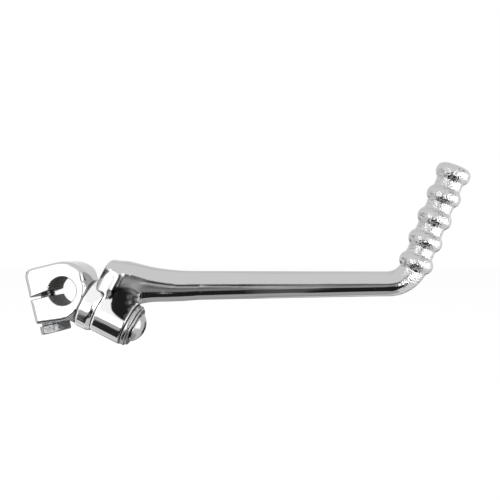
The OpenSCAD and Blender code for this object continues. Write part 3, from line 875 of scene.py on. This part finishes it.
def tent_light(azimuth, elevation):
    """How bright the light tent is in each direction from its middle. The directions are in degrees.

    Azimuth 0 is towards the camera and +90 towards +X. White cloth covers most of the tent. A softbox stands
    left of the camera and a wider one to its right, and a dark gap is left round and below the camera."""
    # Left softbox, with a weaker one over it and a grey patch under it
    light = 1.0 + 1.4 * window(azimuth, -38, -15, 3) * window(elevation, -20, 12, 4)
    light += 0.9 * window(azimuth, -46, -19, 3) * window(elevation, 14, 34, 4)
    light += (0.40 - light) * window(elevation, -38, -20, 3) * window(azimuth, -52, -15, 4)
    # Dark gap: low and black at the sides, higher and grey in front of the camera
    gap_high = -34 - 9 * soft_step(-azimuth, 45, 80)
    gap_high += 36 * soft_step(azimuth, -14, -11) - 31 * soft_step(azimuth, 15, 24)
    gap_low = -60 - 4 * soft_step(azimuth, 4, 12)
    gap = window(elevation, gap_low, gap_high, 3) * window(azimuth, -94, 48, 3)
    light += (0.02 - light) * gap
    grey = 0.05 + 0.27 * soft_step(-elevation, 4, 18) + 0.13 * soft_step(azimuth, -5, 3)
    light += (grey - light) * window(elevation, -24, gap_high, 2.5) * window(azimuth, -13, 17, 2)
    light += 0.10 * window(azimuth, -4, 6, 2) * gap
    # Light that comes round the left softbox's edge, in a streak that falls to the right
    fall = -0.6 * (azimuth + 12)
    light += 0.55 * window(elevation, fall - 6.5, fall - 1.5, 2) * window(azimuth, -15, 0, 2.5)
    # Right softbox, whose left edge leans
    edge = 17 + 3 * soft_step(elevation, 3, 8) + 5 * soft_step(-elevation, 12, 25)
    right = soft_step(azimuth, edge - 2, edge + 2) * soft_step(-azimuth, -105, -95)
    light += (2.3 - light) * right * window(elevation, -30, 13, 3)
    # Dimmer cloth low down, at the left's back and behind
    light -= 0.45 * soft_step(-elevation, 57, 63)
    light -= 0.4 * soft_step(-azimuth, 92, 102) * window(elevation, -56, -36, 4)
    light -= 0.12 * soft_step(np.abs(azimuth), 120, 170)
    # A grey board at the left's back, which darkens the clamp's flank
    light += (0.28 - light) * window(azimuth, -130, -74, 3) * window(elevation, 9, 23, 3)
    # Dark cards at the sides and behind, which mostly the other views see
    for low, high, bottom, top in ((71, 85, 24, 44), (-97, -83, -20, 2), (140, 220, -34, -4),
                                   (-220, -140, -34, -4)):
        light += (0.10 - light) * 0.9 * window(azimuth, low, high, 3) * window(elevation, bottom, top, 4)
    return np.maximum(light, 0)


def lowest_swing():
    """Lowest height that the arm reaches anywhere in its quarter turn."""
    place = pivot_place()
    spots = points_of(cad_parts["arm"])
    heights = []
    for angle in range(0, 91, 10):
        turn = place @ Matrix.Rotation(math.radians(angle), 4, "Z") @ place.inverted()
        heights.append((spots @ np.array(turn.to_3x3())[2] + turn.translation.z).min())
    return min(cad_low.z, *heights)


def seen_as_white(tree):
    """1 for rays that see a white surface as plain white: the camera's, and those off or through a piece."""
    path = add_node(tree, "ShaderNodeLightPath")
    seen = add_node(tree, "ShaderNodeMath", {"operation": "MAXIMUM"},
                    {0: path.outputs["Is Camera Ray"], 1: path.outputs["Is Glossy Ray"]}).outputs["Value"]
    return add_node(tree, "ShaderNodeMath", {"operation": "MAXIMUM"},
                    {0: seen, 1: path.outputs["Is Transmission Ray"]}).outputs["Value"]


class LEVER_OT_stage(bpy.types.Operator):
    """Pale floor, light tent, lamps and the camera at the photograph's viewing angle"""
    bl_idname = "lever.stage"
    bl_label = "Stage, lights and camera"

    def execute(self, context):
        scene = context.scene
        self.camera(scene)
        self.floor(scene.lever_finishes)
        self.light_tent()

        # Soft lamps for what isn't mirror bright, and for the shadow
        for name, place, size, power in LAMPS:
            lamp = bpy.data.lights.new(name, "AREA")
            lamp.shape, lamp.size, lamp.energy = "SQUARE", size, power
            stand = bpy.data.objects.new(name, lamp)
            stand.location = place
            stand.rotation_euler = (Vector(MIDDLE) - Vector(place)).to_track_quat("-Z", "Y").to_euler()
            stand.visible_glossy = False
            scene.collection.objects.link(stand)

        self.world(scene)
        scene.view_settings.view_transform = "Standard"
        return {"FINISHED"}

    def camera(self, scene):
        """Camera 0.42 m away and level, turned 5 degrees to the left."""
        lens = bpy.data.cameras.new("camera")
        lens.lens, lens.sensor_width = 55.26, 36
        camera = bpy.data.objects.new("camera", lens)
        camera.location = (0.13252, -0.40243, 0.02152)
        camera.rotation_euler = (math.radians(90), 0, math.radians(5))
        scene.collection.objects.link(camera)
        scene.camera = camera

    def floor(self, look):
        """Floor under the lowest point of the swing: the lever hangs on its shaft, above the floor."""
        start_clean()
        bpy.ops.mesh.primitive_plane_add(size=8, location=(0.095, 0, lowest_swing() - 2 * MM))
        floor = bpy.context.object
        floor.name = "floor"
        apply_place(floor)
        edit(floor, "FACE")
        bpy.ops.mesh.subdivide(number_cuts=3)
        bpy.ops.object.mode_set(mode="OBJECT")
        floor.data.materials.append(self.floor_material(look))
        # The tent's cloth is what the chrome mirrors below the object
        floor.visible_glossy = False
        return floor

    def floor_material(self, look):
        """Matt white card. Seen by the camera it glows up to white, and keeps the object's shadow."""
        material, tree, output = blank_material("matt white card")
        place = add_node(tree, "ShaderNodeTexCoord").outputs["Object"]
        # The card's fibres, drawn 2 mm apart so that they show
        fibre = add_node(tree, "ShaderNodeTexNoise", links={"Vector": place},
                         sockets={"Scale": 1 / (2 * MM), "Detail": 3.0}).outputs["Fac"]
        bump = add_node(tree, "ShaderNodeBump", links={"Height": fibre},
                        sockets={"Strength": 0.2, "Distance": 0.02 * MM})
        card = add_node(tree, "ShaderNodeBsdfDiffuse", links={"Normal": bump.outputs["Normal"]},
                        sockets={"Color": (*look.floor, 1)})
        glow = add_node(tree, "ShaderNodeEmission", sockets={"Color": WHITE, "Strength": 1.0})
        share = add_node(tree, "ShaderNodeMath", {"operation": "MULTIPLY"},
                         {0: seen_as_white(tree)}, {1: FLOOR_GLOW}).outputs["Value"]
        both = add_node(tree, "ShaderNodeMixShader",
                        links={"Fac": share, 1: card.outputs["BSDF"], 2: glow.outputs["Emission"]})
        tree.links.new(both.outputs["Shader"], output.inputs["Surface"])
        return material

    def light_tent(self):
        """Cloth tent round the object, whose brightness is painted on its points. Only chrome sees it."""
        start_clean()
        bpy.ops.mesh.primitive_uv_sphere_add(segments=240, ring_count=120, radius=TENT_R, location=MIDDLE)
        tent = bpy.context.object
        tent.name = "light_tent"
        towards = points_of(tent)
        towards /= np.linalg.norm(towards, axis=1, keepdims=True)
        azimuth = np.degrees(np.arctan2(towards[:, 0], -towards[:, 1]))
        elevation = np.degrees(np.arcsin(np.clip(towards[:, 2], -1, 1)))
        paint(tent, "glow", tent_light(azimuth, elevation))
        apply_place(tent)
        edit(tent)
        bpy.ops.mesh.flip_normals()
        bpy.ops.object.mode_set(mode="OBJECT")
        material, tree, output = blank_material("lit tent cloth")
        painted = add_node(tree, "ShaderNodeAttribute", {"attribute_name": "glow"}).outputs["Fac"]
        cloth = add_node(tree, "ShaderNodeEmission", None, {"Strength": painted}, {"Color": WHITE})
        tree.links.new(cloth.outputs["Emission"], output.inputs["Surface"])
        material.cycles.emission_sampling = "NONE"
        tent.data.materials.append(material)
        tent.visible_camera = tent.visible_diffuse = tent.visible_shadow = False
        tent.visible_transmission = tent.visible_volume_scatter = False
        return tent

    def world(self, scene):
        """White backdrop for the camera and for reflections, and a softer light for the rest."""
        world = bpy.data.worlds.new("white backdrop")
        world.use_nodes = True
        scene.world = world
        tree = world.node_tree
        tree.nodes.clear()
        output = add_node(tree, "ShaderNodeOutputWorld")
        backdrop = add_node(tree, "ShaderNodeBackground", sockets={"Color": WHITE, "Strength": 1.0})
        fill = add_node(tree, "ShaderNodeBackground", sockets={"Color": WHITE, "Strength": 0.75})
        both = add_node(tree, "ShaderNodeMixShader",
                        links={"Fac": seen_as_white(tree), 1: fill.outputs["Background"],
                               2: backdrop.outputs["Background"]})
        tree.links.new(both.outputs["Shader"], output.inputs["Surface"])


class LEVER_PT_panel(bpy.types.Panel):
    """Sizes, finishes and the steps that make the lever"""
    bl_idname = "LEVER_PT_panel"
    bl_label = "Kick start lever"
    bl_space_type = "VIEW_3D"
    bl_region_type = "UI"
    bl_category = "Lever"

    def draw(self, context):
        scene = context.scene
        for group in (scene.lever_sizes, scene.lever_finishes):
            box = self.layout.box()
            for name in group.bl_rna.properties.keys():
                if name not in ("rna_type", "name"):
                    box.prop(group, name)
        for step in STEPS:
            self.layout.operator(step.bl_idname)


STEPS = (LEVER_OT_stage, LEVER_OT_forged_arm, LEVER_OT_clamp_knuckle, LEVER_OT_pinch_fastener,
         LEVER_OT_pivot_stack, LEVER_OT_detent_parts)
CLASSES = (LeverSizes, LeverFinishes, *STEPS, LEVER_PT_panel)


def register():
    for cls in CLASSES:
        bpy.utils.register_class(cls)
    bpy.types.Scene.lever_sizes = bpy.props.PointerProperty(type=LeverSizes)
    bpy.types.Scene.lever_finishes = bpy.props.PointerProperty(type=LeverFinishes)


def unregister():
    del bpy.types.Scene.lever_finishes
    del bpy.types.Scene.lever_sizes
    for cls in reversed(CLASSES):
        bpy.utils.unregister_class(cls)


def main():
    register()
    start_clean()
    for make in (bpy.ops.lever.stage, bpy.ops.lever.forged_arm, bpy.ops.lever.clamp_knuckle,
                 bpy.ops.lever.pinch_fastener, bpy.ops.lever.pivot_stack, bpy.ops.lever.detent_parts):
        make()
    start_clean()


if __name__ == "__main__":
    main()
